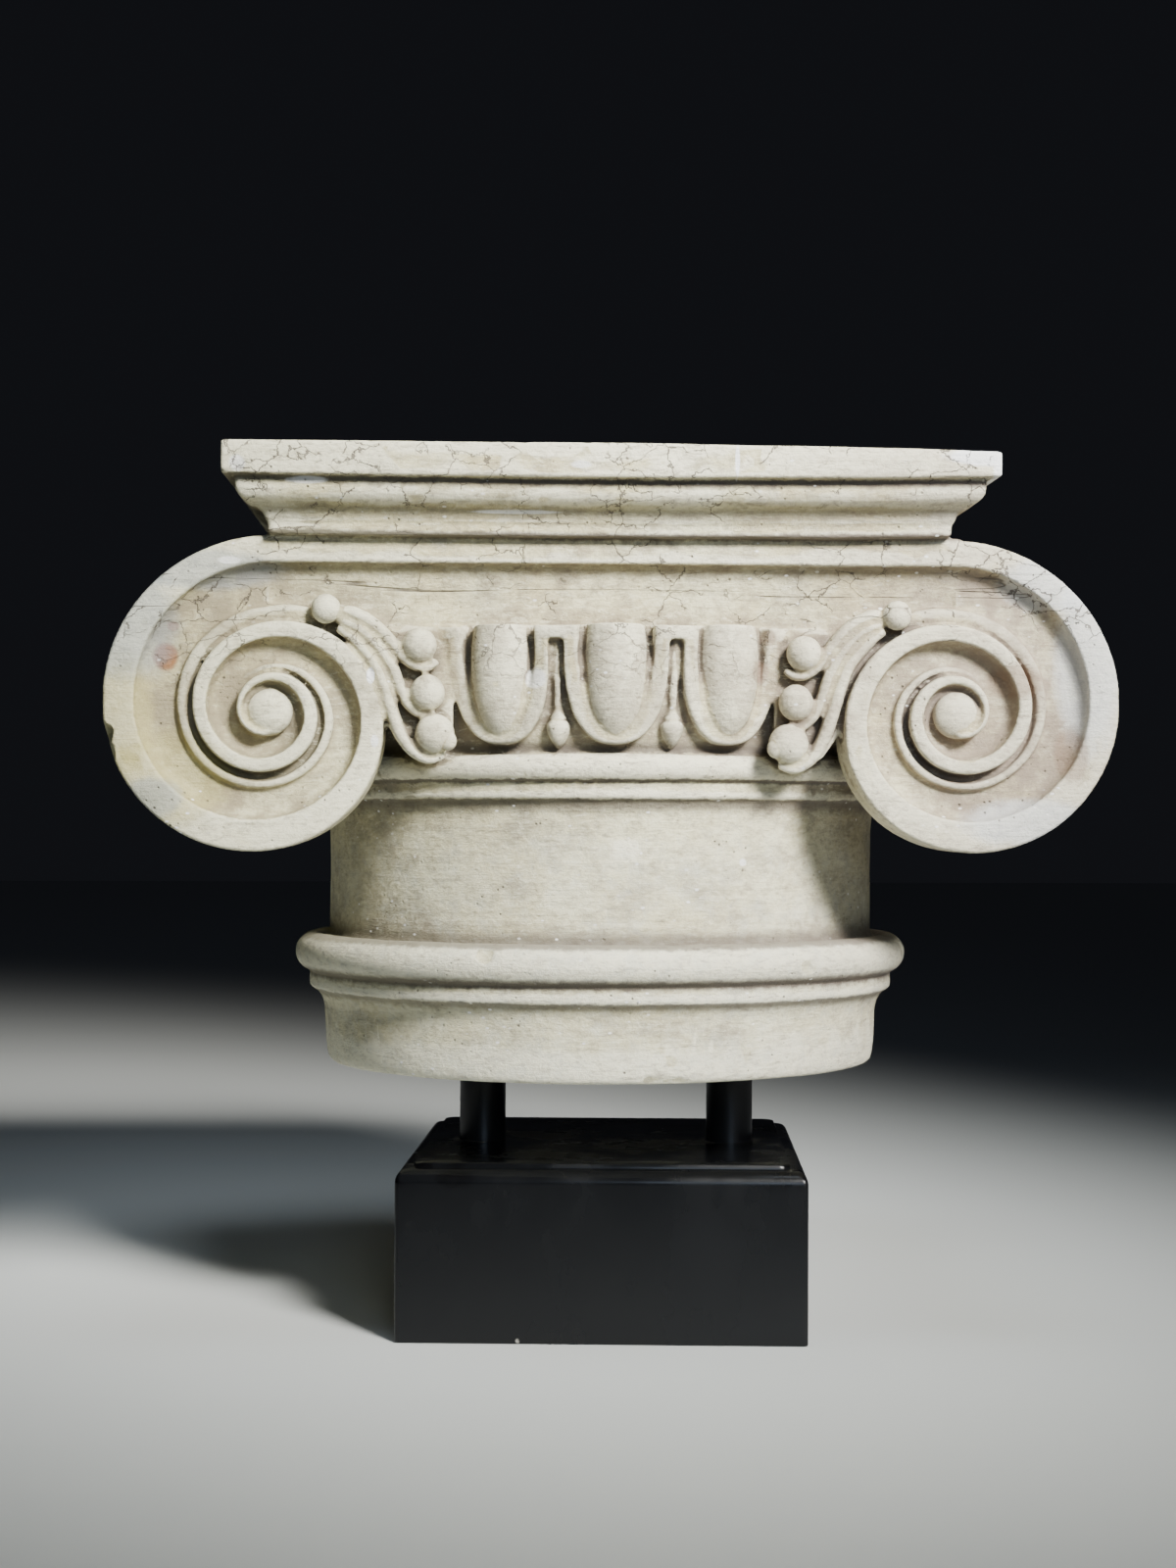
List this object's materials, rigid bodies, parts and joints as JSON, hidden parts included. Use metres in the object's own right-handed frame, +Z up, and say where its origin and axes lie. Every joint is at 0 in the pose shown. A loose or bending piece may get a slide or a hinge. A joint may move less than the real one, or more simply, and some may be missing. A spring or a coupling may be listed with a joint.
{
  "type": "ionic capital",
  "caption": "Plaster cast of an Ionic capital with volutes, egg-and-dart and half palmettes, held by black posts over a square black foot block.",
  "frame": {"origin": "centre of the bounding box's bottom, under the capital's axis and in the plane of the foot block's underside; the middle of the block is 3.4 mm along +X from it", "axes": "+Z up, -Y out of the front volute faces, +X to the right seen from the front, along the line through the two volute eyes"},
  "size_m": [0.4714, 0.352, 0.4239],
  "materials": {
    "plaster": "matte painted plaster with a dirty warm patina in the hollows",
    "post_paint": "satin black",
    "block_lacquer": "gloss black lacquer"
  },
  "bodies": {
    "root": {"capital": "plaster", "post_left": "post_paint", "post_right": "post_paint", "block": "block_lacquer"}
  },
  "joints": []
}
